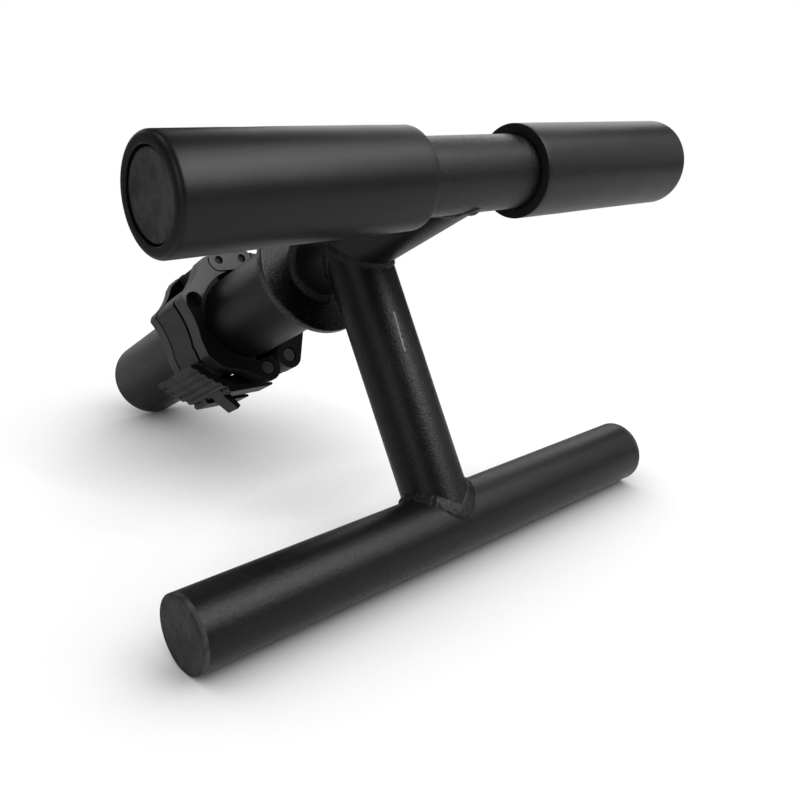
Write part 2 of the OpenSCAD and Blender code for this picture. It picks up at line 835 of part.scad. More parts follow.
module lever_link_pin() {
    color("#3c3c40") rest() y_rod(link_pin_r, collar_y + arm_start + link_pin_inset,
        collar_y + collar_w - arm_start - link_pin_inset, link_pin);
}

// The link runs on the right jaw's pin and hangs loosely on the lever's link pin
module latch_link() {
    y1 = collar_y + (collar_w - link_w) / 2;
    y2 = y1 + link_w;
    color("#262628") rest() difference() {
        slab(y1, y2) strap(link_pin, link_eye_r, catch, link_eye_r);
        y_rod(link_pin_r + link_eye_gap, y1 - past, y2 + past, link_pin);
        y_rod(bore_r, y1 - past, y2 + past, catch);
    }
}

upper_bar_tube();
lower_bar_tube();
post_tube();
spine_tube();
stop_disk();
sleeve_tube();
weld_spine_to_upper_bar();
weld_post_to_spine();
weld_post_to_lower_bar();
weld_spine_to_disk();
foam_grip_left();
foam_grip_right();
upper_bar_plug_left();
upper_bar_plug_right();
lower_bar_cap_left();
lower_bar_cap_right();
sleeve_end_plug();
collar_jaw_left();
collar_jaw_right();
jaw_pad_left();
jaw_pad_right();
hinge_link_near();
hinge_link_far();
hinge_pin_left();
hinge_pin_right();
latch_lever();
lever_pivot_pins();
lever_link_pin();
latch_link();
catch_pin();
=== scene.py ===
"""Looks of a tib bar: powder-coated frame, foam foot grips and a clamp-on plate collar."""
import json
import math

import bmesh
import bpy
from bpy.props import FloatProperty, FloatVectorProperty, IntProperty, PointerProperty
from mathutils import Matrix, Vector, noise


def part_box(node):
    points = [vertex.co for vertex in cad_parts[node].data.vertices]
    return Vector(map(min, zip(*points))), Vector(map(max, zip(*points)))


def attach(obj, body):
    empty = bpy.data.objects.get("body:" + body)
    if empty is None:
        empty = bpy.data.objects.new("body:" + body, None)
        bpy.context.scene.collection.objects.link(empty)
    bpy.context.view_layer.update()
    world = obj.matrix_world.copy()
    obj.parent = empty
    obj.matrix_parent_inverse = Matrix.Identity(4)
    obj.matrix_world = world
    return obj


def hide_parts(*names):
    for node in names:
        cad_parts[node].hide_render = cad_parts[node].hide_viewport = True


bl_info = {
    "name": "Tib Bar Looks",
    "version": (1, 0, 0),
    "blender": (4, 5, 0),
    "location": "View3D > Sidebar > Tib Bar",
    "description": "Builds the foam grips, weld beads, finishes and studio of a tib bar",
    "category": "Object",
}

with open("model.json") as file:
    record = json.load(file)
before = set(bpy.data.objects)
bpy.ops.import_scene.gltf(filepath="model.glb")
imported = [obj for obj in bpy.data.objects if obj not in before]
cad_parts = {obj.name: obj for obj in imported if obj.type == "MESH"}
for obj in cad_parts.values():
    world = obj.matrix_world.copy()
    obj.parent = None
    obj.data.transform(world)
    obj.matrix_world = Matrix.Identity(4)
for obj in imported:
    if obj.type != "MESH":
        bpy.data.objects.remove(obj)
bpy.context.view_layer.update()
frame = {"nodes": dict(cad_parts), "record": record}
NODES = frame["nodes"]
MM = 0.001


def mount(name):
    """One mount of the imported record."""
    return next(m for m in frame["record"]["mounts"] if m["name"] == name)


def middle(node):
    """Centre of a CAD node's box."""
    low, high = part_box(node)
    return (low + high) / 2


# The tib bar's own axes: right along the bars, back along the sleeve and up along the
# post. They meet on the upper bar's axis.
HUB = middle("upper_bar_tube")
RIGHT = Vector((1, 0, 0))
BACK = Vector(mount("plate_sleeve")["axis"]).normalized()
UP = RIGHT.cross(BACK)
TURN = Matrix((RIGHT, BACK, UP)).transposed()


def at(right, back, up):
    """A point in the room from millimetres along the bar's own axes."""
    return HUB + TURN @ (Vector((right, back, up)) * MM)


def own(point):
    """Millimetres along the bar's own axes from a point in the room."""
    return TURN.transposed() @ (point - HUB) / MM


# Radii, ends, lengths and places of the CAD's pieces, in millimetres
TUBE_R = (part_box("upper_bar_tube")[1].z - HUB.z) / MM
TUBE_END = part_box("upper_bar_tube")[1].x / MM
LOWER_R = (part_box("lower_bar_tube")[1].z - middle("lower_bar_tube").z) / MM
LOW_BAR = own(middle("lower_bar_tube"))
FOAM_R = (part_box("foam_grip_right")[1].z - HUB.z) / MM
FOAM_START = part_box("foam_grip_right")[0].x / MM
FOAM_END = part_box("foam_grip_right")[1].x / MM
DISK_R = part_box("stop_disk")[1].x / MM
DISK_FAR = own(Vector(mount("plate_stop")["pos_m"])).y
SLEEVE_LEN = mount("plate_sleeve")["dims"]["length_mm"]


class BarColours(bpy.types.PropertyGroup):
    """Colours of the tib bar's materials."""

    coat: FloatVectorProperty(
        name="Powder coat", description="Colour of the painted steel",
        default=(0.0034, 0.0034, 0.0035), min=0, max=1, subtype="COLOR")
    foam: FloatVectorProperty(
        name="Foam", description="Colour of the foam grips",
        default=(0.0034, 0.0034, 0.0034), min=0, max=1, subtype="COLOR")
    plug: FloatVectorProperty(
        name="Plugs", description="Colour of the end plugs and caps",
        default=(0.0340, 0.0340, 0.0345), min=0, max=1, subtype="COLOR")
    collar: FloatVectorProperty(
        name="Collar", description="Colour of the collar's moulded jaws and lever",
        default=(0.016, 0.016, 0.0165), min=0, max=1, subtype="COLOR")
    scuff: FloatVectorProperty(
        name="Scuffs", description="Colour of rubbed and scratched places",
        default=(0.2, 0.2, 0.205), min=0, max=1, subtype="COLOR")


class BarSizes(bpy.types.PropertyGroup):
    """Sizes of the foam and of the weld beads."""

    foam_round: FloatProperty(
        name="Foam end radius", description="Radius of the foam's rounded outer ends",
        default=2.6 * MM, min=1 * MM, max=3.5 * MM, unit="LENGTH")
    foam_swell: FloatProperty(
        name="Foam unevenness", description="How far the foam's skin swells and dips",
        default=0.12 * MM, min=0, max=0.3 * MM, unit="LENGTH")
    bead_width: FloatProperty(
        name="Bead width", description="Half the width of a weld bead in a corner",
        default=4.3 * MM, min=1 * MM, max=5 * MM, unit="LENGTH")
    seam_width: FloatProperty(
        name="Seam width", description="Half the width of a weld bead between equal tubes",
        default=2.8 * MM, min=1 * MM, max=5 * MM, unit="LENGTH")
    bead_ripple: FloatProperty(
        name="Bead ripple", description="Height of the ripples along a weld bead",
        default=0.24 * MM, min=0, max=1 * MM, unit="LENGTH")
    bead_pitch: FloatProperty(
        name="Ripple pitch", description="Distance between the ripples of a weld bead",
        default=1.7 * MM, min=1 * MM, max=6 * MM, unit="LENGTH")
    bead_seed: IntProperty(
        name="Bead seed", description="Seed of the weld beads' unevenness", default=7)


class Studio(bpy.types.PropertyGroup):
    """Lights, floor and camera."""

    key: FloatProperty(
        name="Key light", description="Power of the soft box high on the camera's right",
        default=11.0, min=0, unit="POWER")
    side: FloatProperty(
        name="Side light", description="Power of the soft box right of the key light",
        default=7.0, min=0, unit="POWER")
    low: FloatProperty(
        name="Low light", description="Power of the soft box low on the camera's right",
        default=1.6, min=0, unit="POWER")
    fill: FloatProperty(
        name="Fill light", description="Power of the low soft box on the camera's left",
        default=3.6, min=0, unit="POWER")
    back: FloatProperty(
        name="Back light", description="Power of the soft box behind the object",
        default=4.2, min=0, unit="POWER")
    rim: FloatProperty(
        name="Rim lights", description="Power of the two soft boxes behind on the left",
        default=2.0, min=0, unit="POWER")
    surround: FloatProperty(
        name="Surround", description="Strength of the dim room round the object",
        default=0.02, min=0, max=1)
    floor: FloatVectorProperty(
        name="Floor", description="Colour of the floor",
        default=(0.8, 0.8, 0.8), min=0, max=1, subtype="COLOR")
    lens: FloatProperty(
        name="Lens", description="Focal length of the camera, in millimetres on 36",
        default=40.156, min=10, max=200)


def colours():
    return bpy.context.scene.tib_bar_colours


def sizes():
    return bpy.context.scene.tib_bar_sizes


def studio():
    return bpy.context.scene.tib_bar_studio


class Wire:
    """An output of a node. Sums and products of wires add Math nodes to its tree."""

    def __init__(self, tree, socket):
        self.tree = tree
        self.socket = socket

    def maths(self, operation, *values):
        return self.tree.node("ShaderNodeMath", {"operation": operation}, values)

    def __add__(self, other):
        return self.maths("ADD", self, other)

    __radd__ = __add__

    def __sub__(self, other):
        return self.maths("SUBTRACT", self, other)

    def __rsub__(self, other):
        return self.maths("SUBTRACT", other, self)

    def __mul__(self, other):
        return self.maths("MULTIPLY", self, other)

    def __truediv__(self, other):
        return self.maths("DIVIDE", self, other)

    def __abs__(self):
        return self.maths("ABSOLUTE", self)

    def smaller(self, other):
        return self.maths("MINIMUM", self, other)

    def larger(self, other):
        return self.maths("MAXIMUM", self, other)

    def power(self, exponent):
        return self.maths("POWER", self, exponent)

    def sine(self):
        return self.maths("SINE", self)

    def fade(self, start, end):
        """0 before start and 1 after end, smooth between them. Start may be the larger."""
        if start > end:
            return 1 - self.fade(end, start)
        return self.tree.node(
            "ShaderNodeMapRange", {"interpolation_type": "SMOOTHSTEP", "clamp": True},
            {"Value": self, "From Min": start, "From Max": end})


class Tree:
    """A node tree that is built from wires."""

    def __init__(self, tree):
        self.nodes = tree.nodes
        self.links = tree.links

    def node(self, kind, settings, values, output=0):
        """An output of a new node. Its settings are made first, and then its inputs."""
        made = self.nodes.new(kind)
        for key, value in settings.items():
            setattr(made, key, value)
        pairs = values.items() if isinstance(values, dict) else enumerate(values)
        for key, value in pairs:
            if isinstance(value, Wire):
                self.links.new(value.socket, made.inputs[key])
            else:
                made.inputs[key].default_value = value
        return Wire(self, made.outputs[output])

    def vector_maths(self, operation, values, output="Vector"):
        return self.node("ShaderNodeVectorMath", {"operation": operation}, values, output)


class Finish(Tree):
    """A material that is built from wires."""

    def __init__(self, name):
        self.material = bpy.data.materials.new(name)
        self.material.use_nodes = True
        super().__init__(self.material.node_tree)
        self.nodes.clear()
        self.place = self.node("ShaderNodeTexCoord", {}, {}, "Object")
        self.facing = self.node("ShaderNodeTexCoord", {}, {}, "Normal")

    def along(self, direction, origin=HUB):
        """Millimetres along a direction from an origin."""
        away = self.vector_maths("SUBTRACT", (self.place, tuple(origin)))
        return self.vector_maths("DOT_PRODUCT", (away, tuple(direction / MM)), "Value")

    def off_axis(self, direction, origin=HUB):
        """Millimetres from the axis through an origin."""
        away = self.vector_maths("SUBTRACT", (self.place, tuple(origin)))
        axis = tuple(direction.normalized() / MM)
        cross = self.vector_maths("CROSS_PRODUCT", (away, axis))
        return self.vector_maths("LENGTH", (cross,), "Value")

    def facing_along(self, direction):
        """1 where the surface faces that way, -1 where it faces the other way."""
        return self.vector_maths("DOT_PRODUCT", (self.facing, tuple(direction)), "Value")

    def near(self, a, b):
        """Millimetres from the straight line between two points."""
        span = b - a
        away = self.vector_maths("SUBTRACT", (self.place, tuple(a)))
        share = self.vector_maths(
            "DOT_PRODUCT", (away, tuple(span / span.length_squared)), "Value")
        share = share.larger(0.0).smaller(1.0)
        foot = self.vector_maths("SCALE", {"Vector": tuple(span), "Scale": share})
        rest = self.vector_maths("SUBTRACT", (away, foot))
        return self.vector_maths("LENGTH", (rest,), "Value") / MM

    def noise(self, size, detail, roughness, stretch=None):
        """Noise whose patches measure about size, in millimetres. Stretch is a direction
        and how many times longer the patches are that way."""
        where = self.place
        if stretch is not None:
            direction, times = stretch
            share = self.vector_maths(
                "DOT_PRODUCT", (where, tuple(direction * (1 - 1 / times))), "Value")
            pull = self.vector_maths("SCALE", {"Vector": tuple(direction), "Scale": share})
            where = self.vector_maths("SUBTRACT", (where, pull))
        return self.node("ShaderNodeTexNoise", {"noise_dimensions": "3D"},
                         {"Vector": where, "Scale": 1 / (size * MM), "Detail": detail,
                          "Roughness": roughness})

    def mix(self, share, first, second):
        """A colour between two colours."""
        made = self.node("ShaderNodeMix", {"data_type": "RGBA", "clamp_factor": True}, {})
        mixer = made.socket.node
        result = next(s for s in mixer.outputs if s.type == "RGBA")
        ends = [s for s in mixer.inputs if s.type == "RGBA"]
        sockets = (mixer.inputs[0], *ends)
        for value, socket in zip((share, first, second), sockets):
            if isinstance(value, Wire):
                self.links.new(value.socket, socket)
            elif socket.type == "RGBA":
                socket.default_value = (*value, 1.0)
            else:
                socket.default_value = value
        return Wire(self, result)

    def between(self, share, colour, low, high):
        """A colour whose brightness goes from low to high times the given one."""
        return self.mix(share, shade(colour, low), shade(colour, high))

    def relief(self, height, depth):
        """Bump of a height between 0 and 1 that stands for depth, in millimetres."""
        values = {"Height": height, "Distance": depth * MM, "Strength": 1.0}
        return self.node("ShaderNodeBump", {}, values, "Normal")

    def close(self, colour, roughness, normal, specular):
        """Ends the material in one plain shader."""
        return self.end(self.node(
            "ShaderNodeBsdfPrincipled", {},
            {"Base Color": colour, "Roughness": roughness, "Normal": normal,
             "Specular IOR Level": specular}, "BSDF"))

    def end(self, shader):
        """Leads a shader to the material's output."""
        last = self.nodes.new("ShaderNodeOutputMaterial")
        self.links.new(shader.socket, last.inputs["Surface"])
        return self.material


def shade(colour, times):
    """A colour made lighter or darker."""
    return tuple(part * times for part in colour)


def new_object(name, data):
    made = bpy.data.objects.new(name, data)
    bpy.context.scene.collection.objects.link(made)
    return made


def smooth_by_angle(bm, degrees):
    """Smooth faces, with sharp edges where faces meet at more than that angle."""
    for face in bm.faces:
        face.smooth = True
    for edge in bm.edges:
        edge.smooth = edge.calc_face_angle(0.0) < math.radians(degrees)


def as_mesh(bm, name):
    """A new mesh from a bmesh, which is freed."""
    mesh = bpy.data.meshes.new(name)
    bm.to_mesh(mesh)
    bm.free()
    return mesh


def applied(source, name):
    """The mesh that an object's modifiers give. The object itself is removed."""
    bpy.context.view_layer.update()
    evaluated = source.evaluated_get(bpy.context.evaluated_depsgraph_get())
    result = bpy.data.meshes.new_from_object(evaluated)
    result.name = name
    bpy.data.objects.remove(source)
    return result


def finish_piece(piece, material):
    """Gives a piece its only material."""
    piece.data.materials.clear()
    piece.data.materials.append(material)


def paint_nodes(material, *names):
    """Puts a material on CAD nodes."""
    for name in names:
        for holder in NODES[name].material_slots:
            holder.material = material


def body_of(node):
    """Body that a CAD node rides on."""
    return next(body for body, nodes in frame["record"]["behaviour"]["bodies"].items()
                if node in nodes)


# Points closer than this are one, in metres. Faces that turn less than the first angle
# are one face, and edges that turn more than the second one get a round.
SAME_POINT = 2e-6
FLAT_ANGLE = 0.4
EDGE_ANGLE = 32
ROUND_SEGMENTS = 2


def softened(node, width, material):
    """A copy of a CAD node with small rounds on its edges, which stands for the node."""
    bm = bmesh.new()
    bm.from_mesh(NODES[node].data)
    bmesh.ops.remove_doubles(bm, verts=bm.verts, dist=SAME_POINT)
    bmesh.ops.dissolve_limit(bm, angle_limit=math.radians(FLAT_ANGLE), verts=bm.verts,
                             edges=bm.edges)
    smooth_by_angle(bm, EDGE_ANGLE)
    source = new_object(node + "_sharp", as_mesh(bm, node + "_sharp"))
    bevel = source.modifiers.new("rounds", "BEVEL")
    bevel.width = width * MM
    bevel.segments = ROUND_SEGMENTS
    bevel.limit_method = "ANGLE"
    bevel.angle_limit = math.radians(EDGE_ANGLE)
    bevel.harden_normals = True
    name = node + "_rounded"
    piece = new_object(name, applied(source, name))
    finish_piece(piece, material)
    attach(piece, body_of(node))
    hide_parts(node)


# The foam's section, in millimetres: its slack round the tube, how far its mouth closes in
# beyond the tube's end, and the rounds of its inner edge and of its mouth
FOAM_SLACK = 0.3
MOUTH_IN = 0.2
INNER_ROUND = 0.45
MOUTH_ROUND = 0.7
# How far past the tube's end the mouth starts and ends to widen to the bore, and how far
# short of that end the bore's rings start
MOUTH_WIDENS = (1.1, 0.4)
BORE_TOP = 0.6
# Rings along the inner edge, the skin, the outer round, the mouth's round and the bore
FOAM_RINGS = (4, 40, 10, 6, 12)
FOAM_SIDES = 128
FOAM_EDGE_ANGLE = 50


def turned(profile, axis, sides):
    """A closed ring turned about an axis through the hub. The profile is a closed loop of
    (radius, distance along the axis) in millimetres."""
    side = axis.orthogonal().normalized()
    third = axis.cross(side)
    bm = bmesh.new()
    rings = []
    for k in range(sides):
        angle = math.tau * k / sides
        out = side * math.cos(angle) + third * math.sin(angle)
        rings.append([bm.verts.new(HUB + (out * r + axis * d) * MM) for r, d in profile])
    count = len(profile)
    for k in range(sides):
        ring, after = rings[k], rings[(k + 1) % sides]
        for j in range(count):
            bm.faces.new((ring[j], ring[(j + 1) % count], after[(j + 1) % count], after[j]))
    bmesh.ops.recalc_face_normals(bm, faces=bm.faces)
    return bm


def arc(centre, radius, start, end, steps):
    """Points (radius, distance) round a centre, from one angle to another in degrees."""
    angles = [math.radians(start + (end - start) * k / steps) for k in range(steps + 1)]
    return [(centre[0] + radius * math.cos(angle), centre[1] + radius * math.sin(angle))
            for angle in angles]


def foam_profile():
    """Section of a grip: square inner end, rounded outer end and a mouth that closes in
    beyond the tube's end."""
    bore = TUBE_R + FOAM_SLACK
    mouth = TUBE_R - MOUTH_IN
    edge, soft = INNER_ROUND, MOUTH_ROUND
    big = sizes().foam_round / MM
    edge_rings, skin_rings, round_rings, mouth_rings, bore_rings = FOAM_RINGS
    points = [(bore, FOAM_START)]
    points += arc((FOAM_R - edge, FOAM_START + edge), edge, -90, 0, edge_rings)
    straight = FOAM_END - big - FOAM_START - edge
    points += [(FOAM_R, FOAM_START + edge + straight * k / skin_rings)
               for k in range(1, skin_rings)]
    points += arc((FOAM_R - big, FOAM_END - big), big, 0, 90, round_rings)
    points += arc((mouth + soft, FOAM_END - soft), soft, 90, 180, mouth_rings)
    points += [(mouth, TUBE_END + MOUTH_WIDENS[0]), (bore, TUBE_END + MOUTH_WIDENS[1])]
    inside = TUBE_END - BORE_TOP - FOAM_START
    points += [(bore, TUBE_END - BORE_TOP - inside * k / bore_rings)
               for k in range(bore_rings)]
    return points


# The foam's unevenness: the smallest distance from the tube in millimetres at which the
# foam moves, patches per metre of the broad and the fine noise, the fine one's share, and
# how far the skin sinks on average, as a share of the depth
SKIN_FROM = 1
SWELL_BROAD = 35
SWELL_FINE = 90
SWELL_FINE_SHARE = 0.5
SWELL_SINK = 0.9


def swell(bm, depth, seed):
    """Moves the skin in and out a little, as moulded foam is never quite even."""
    for vertex in bm.verts:
        local = vertex.co - HUB
        out = Vector((0, local.y, local.z))
        if out.length < (TUBE_R + SKIN_FROM) * MM:
            continue
        broad = noise.noise(vertex.co * SWELL_BROAD + Vector((seed, 0, 0)))
        fine = noise.noise(vertex.co * SWELL_FINE + Vector((0, seed, 0)))
        wave = broad + SWELL_FINE_SHARE * fine
        vertex.co += out.normalized() * (depth * (wave - SWELL_SINK))
    bm.normal_update()


# Specular level of the foam's skin, the paint and most of the plastic
SHEEN = 0.25
# Noise values between which a cloudy colour goes from dark to light
CLOUD_FADE = (0.35, 0.7)
# Noises of the foam: size of the patches in millimetres, detail, roughness, and the
# direction and times that they are stretched
FOAM_GRAIN = (0.35, 2, 0.6)
FOAM_PORES = (1.1, 3, 0.65)
FOAM_CLOUDS = (22, 3, 0.55)
FOAM_DRAG = (3.0, 3, 0.6, (RIGHT, 7))
FOAM_RUB = (2.4, 3, 0.7, (RIGHT, 4))
# Ends of the rubbed line on the front of the right grip, and the distances from it in
# millimetres at which it fades in
RUB_LINE = (at(36.1, -18.8, -8.2), at(104, -15.3, -13.7))
RUB_FADE = (1.6, 0.2)
# How squarely a face looks along the bar where it starts and ends to count as an end
FOAM_END_FADE = (0.75, 0.98)
# Brightness of the foam's clouds, dragged streaks and the painted shade on its ends, times
# its colour, and how much of the streaks, the rub and the ends' painted shade shows
FOAM_TONES = (0.8, 1.25)
STREAK_TONE = 2.2
FOAM_END_SHADE_TONE = 0.5
STREAK_SHARE = 0.25
RUB_SHARE = 0.13
FOAM_END_SHADE_SHARE = 0.35
# Roughness where nothing adds to it, and the depth of the pores in millimetres
FOAM_ROUGHNESS = 0.35
FOAM_RELIEF = 0.03


def foam_finish():
    """Skin of the grips: cloudy, dragged lengthwise and rubbed in one place. The ends are
    rougher, as bare foam has no sheen, and are painted darker as shade."""
    finish = Finish("foam_skin")
    foam = colours().foam
    grain = finish.noise(*FOAM_GRAIN)
    pores = finish.noise(*FOAM_PORES)
    clouds = finish.noise(*FOAM_CLOUDS)
    drag = finish.noise(*FOAM_DRAG)
    rub = finish.near(*RUB_LINE).fade(*RUB_FADE) * finish.noise(*FOAM_RUB).fade(0.52, 0.66)
    end = abs(finish.facing_along(RIGHT)).fade(*FOAM_END_FADE)
    colour = finish.between(clouds.fade(*CLOUD_FADE), foam, *FOAM_TONES)
    colour = finish.mix(drag.fade(0.6, 0.8) * STREAK_SHARE, colour,
                        shade(foam, STREAK_TONE))
    colour = finish.mix(rub * RUB_SHARE, colour, colours().scuff)
    # Painted shade on the ends, which face away from the light
    colour = finish.mix(end * FOAM_END_SHADE_SHARE, colour, shade(foam, FOAM_END_SHADE_TONE))
    roughness = FOAM_ROUGHNESS + grain * 0.06 + clouds * 0.05 + end * 0.2 + rub * 0.15
    height = grain * 0.35 + pores * 0.65
    return finish.close(colour, roughness, finish.relief(height, FOAM_RELIEF), SHEEN)


class TIBBAR_OT_foam_grips(bpy.types.Operator):
    """Build both foam grips, which stand for their plain CAD sleeves"""

    bl_idname = "tibbar.foam_grips"
    bl_label = "Foam Grips"

    def execute(self, context):
        skin = foam_finish()
        for name, axis, seed in (("foam_sleeve_left", -RIGHT, 3),
                                 ("foam_sleeve_right", RIGHT, 11)):
            bm = turned(foam_profile(), axis, FOAM_SIDES)
            swell(bm, sizes().foam_swell, seed)
            smooth_by_angle(bm, FOAM_EDGE_ANGLE)
            piece = new_object(name, as_mesh(bm, name))
            finish_piece(piece, skin)
            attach(piece, "frame")
            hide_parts(name.replace("sleeve", "grip"))
        return {"FINISHED"}


def socket_id(group, name):
    """Identifier of a geometry nodes group's named input."""
    return next(item.identifier for item in group.interface.items_tree
                if item.item_type == "SOCKET" and item.in_out == "INPUT"
                and item.name == name)


# Points round a bead's section
BEAD_SIDES = 28
# Distance between the seeds of two beads in the noise, patches per metre of the slow
# noise along the path and of the fine noise over the skin, and their detail
SEED_STEP = 3.7
BEAD_SLOW = 120.0
BEAD_FINE = 420.0
BEAD_DETAIL = 2.0
# How far the slow noise shifts the ripples and how far they bow, in ripples, and how it
# scales their height
RIPPLE_SHIFT = 9.0
RIPPLE_BOW = 0.8
RIPPLE_HEIGHT = 1.4
# Unevenness that each noise adds, in heights of a ripple
SLOW_BUMPS = 8.0
FINE_BUMPS = 7.0
# Share of the lift in the bead's middle. It falls by 1 towards the bead's edges.
MIDDLE_LIFT = 1.15


def bead_tree():
    """Geometry nodes that lay a flattened, rippled bead along a closed path. Each point of
    the path holds the direction that the bead faces and how far it is flattened."""
    group = bpy.data.node_groups.new("weld_bead", "GeometryNodeTree")
    for name, kind in (("Geometry", "Geometry"), ("Width", "Float"), ("Ripple", "Float"),
                       ("Pitch", "Float"), ("Seed", "Int"), ("Material", "Material")):
        group.interface.new_socket(name, in_out="INPUT", socket_type="NodeSocket" + kind)
    group.interface.new_socket("Geometry", in_out="OUTPUT",
                               socket_type="NodeSocketGeometry")
    tree = Tree(group)

    def given(name):
        return tree.node("NodeGroupInput", {}, {}, name)

    def stored(name, kind):
        return tree.node("GeometryNodeInputNamedAttribute", {"data_type": kind},
                         {"Name": name})

    def scaled(vector, times):
        return tree.vector_maths("SCALE", {"Vector": vector, "Scale": times})

    def bead_noise(place, scale):
        return tree.node("ShaderNodeTexNoise", {"noise_dimensions": "4D"},
                         {"Vector": place, "W": given("Seed") * SEED_STEP, "Scale": scale,
                          "Detail": BEAD_DETAIL})

    # The path's length and points are kept before the bead is swept along it
    where = tree.node("GeometryNodeInputPosition", {}, {})
    curve = tree.node("GeometryNodeMeshToCurve", {}, {"Mesh": given("Geometry")})
    length = tree.node("GeometryNodeSplineParameter", {}, {}, "Length")
    kept = group.nodes.new("GeometryNodeCaptureAttribute")
    kept.capture_items.new("FLOAT", "Length")
    kept.capture_items.new("VECTOR", "Path")
    for name, wire in (("Geometry", curve), ("Length", length), ("Path", where)):
        group.links.new(wire.socket, kept.inputs[name])
    curve, length, path = (Wire(tree, kept.outputs[name])
                           for name in ("Geometry", "Length", "Path"))
    ring = tree.node("GeometryNodeCurvePrimitiveCircle", {},
                     {"Resolution": BEAD_SIDES, "Radius": given("Width")}, "Curve")
    swept = tree.node("GeometryNodeCurveToMesh", {},
                      {"Curve": curve, "Profile Curve": ring})
    faces = tree.vector_maths("NORMALIZE", (stored("faces", "FLOAT_VECTOR"),))
    away = tree.vector_maths("SUBTRACT", (where, path))
    rise = tree.vector_maths("DOT_PRODUCT", (away, faces), "Value")
    beside = tree.vector_maths("SUBTRACT", (away, scaled(faces, rise)))
    across = tree.vector_maths("LENGTH", (beside,), "Value") / given("Width")
    slow = bead_noise(path, BEAD_SLOW)
    fine = bead_noise(where, BEAD_FINE)
    # Ripples are crescents, and the slow noise moves them, as no weld pool moves evenly
    turn = length / given("Pitch") + slow * RIPPLE_SHIFT - across * across * RIPPLE_BOW
    wave = (turn * math.tau).sine() * (slow * RIPPLE_HEIGHT)
    uneven = (slow - 0.5) * SLOW_BUMPS + (fine - 0.5) * FINE_BUMPS
    # The middle of the bead moves most, and its edges stay close to the tubes
    lift = (wave + uneven) * given("Ripple") * (MIDDLE_LIFT - across)
    shift = rise * (stored("flat", "FLOAT") - 1.0) + lift
    bead = tree.node("GeometryNodeSetPosition", {},
                     {"Geometry": swept, "Offset": scaled(faces, shift)})
    bead = tree.node("GeometryNodeSetShadeSmooth", {}, {"Geometry": bead})
    bead = tree.node("GeometryNodeRealizeInstances", {}, {"Geometry": bead})
    bead = tree.node("GeometryNodeSetMaterial", {},
                     {"Geometry": bead, "Material": given("Material")})
    group.links.new(bead.socket, group.nodes.new("NodeGroupOutput").inputs[0])
    return group


def grown(name, path, group, inputs):
    """A closed path of (point, direction that the bead faces, flatness) turned into a mesh
    by a geometry nodes group."""
    mesh = bpy.data.meshes.new(name + "_path")
    count = len(path)
    mesh.from_pydata([tuple(point) for point, _, _ in path],
                     [(k, (k + 1) % count) for k in range(count)], [])
    faces = mesh.attributes.new("faces", "FLOAT_VECTOR", "POINT")
    faces.data.foreach_set("vector", [part for _, out, _ in path for part in out])
    flat = mesh.attributes.new("flat", "FLOAT", "POINT")
    flat.data.foreach_set("value", [share for _, _, share in path])
    source = new_object(name + "_path", mesh)
    modifier = source.modifiers.new("grow", "NODES")
    modifier.node_group = group
    for key, value in inputs.items():
        modifier[socket_id(group, key)] = value
    result = applied(source, name)
    for left in [a.name for a in result.attributes if a.name in ("faces", "flat")]:
        result.attributes.remove(result.attributes[left])
    bm = bmesh.new()
    bm.from_mesh(result)
    bmesh.ops.recalc_face_normals(bm, faces=bm.faces)
    bm.to_mesh(result)
    bm.free()
    return new_object(name, result)


# How flat a bead is in a square corner and on a flush seam, and how far its middle stands
# off the corner in millimetres
FLAT_CORNER = 0.5
FLAT_SEAM = 0.3
BEAD_LIFT = 0.3
# Points along a bead's path
PATH_POINTS = 220


def bead_point(point, first, second):
    """A path point between two surfaces that face first and second. The more open their
    corner, the flatter the bead."""
    faces = (first + second).normalized()
    corner = 1 - max(0.0, first.dot(second))
    flat = FLAT_SEAM + (FLAT_CORNER - FLAT_SEAM) * corner
    return at(*(point + faces * BEAD_LIFT * corner)), TURN @ faces, flat


def saddle_path(branch_r, run_r, centre, along, across, out):
    """Points round a branch tube where it meets a run tube: along the run, across it and
    out along the branch."""
    points = []
    for k in range(PATH_POINTS):
        angle = math.tau * k / PATH_POINTS
        side = branch_r * math.sin(angle)
        height = math.sqrt(max(0.0, run_r * run_r - side * side))
        place = (centre + along * branch_r * math.cos(angle) + across * side
                 + out * height)
        branch_out = along * math.cos(angle) + across * math.sin(angle)
        run_out = (across * side + out * height) / run_r
        points.append(bead_point(place, branch_out, run_out))
    return points


def ring_path(radius, centre, side, third, back):
    """Points round a tube where its square end meets a flat face."""
    points = []
    for k in range(PATH_POINTS):
        angle = math.tau * k / PATH_POINTS
        out = side * math.cos(angle) + third * math.sin(angle)
        points.append(bead_point(centre + out * radius, out, -back))
    return points


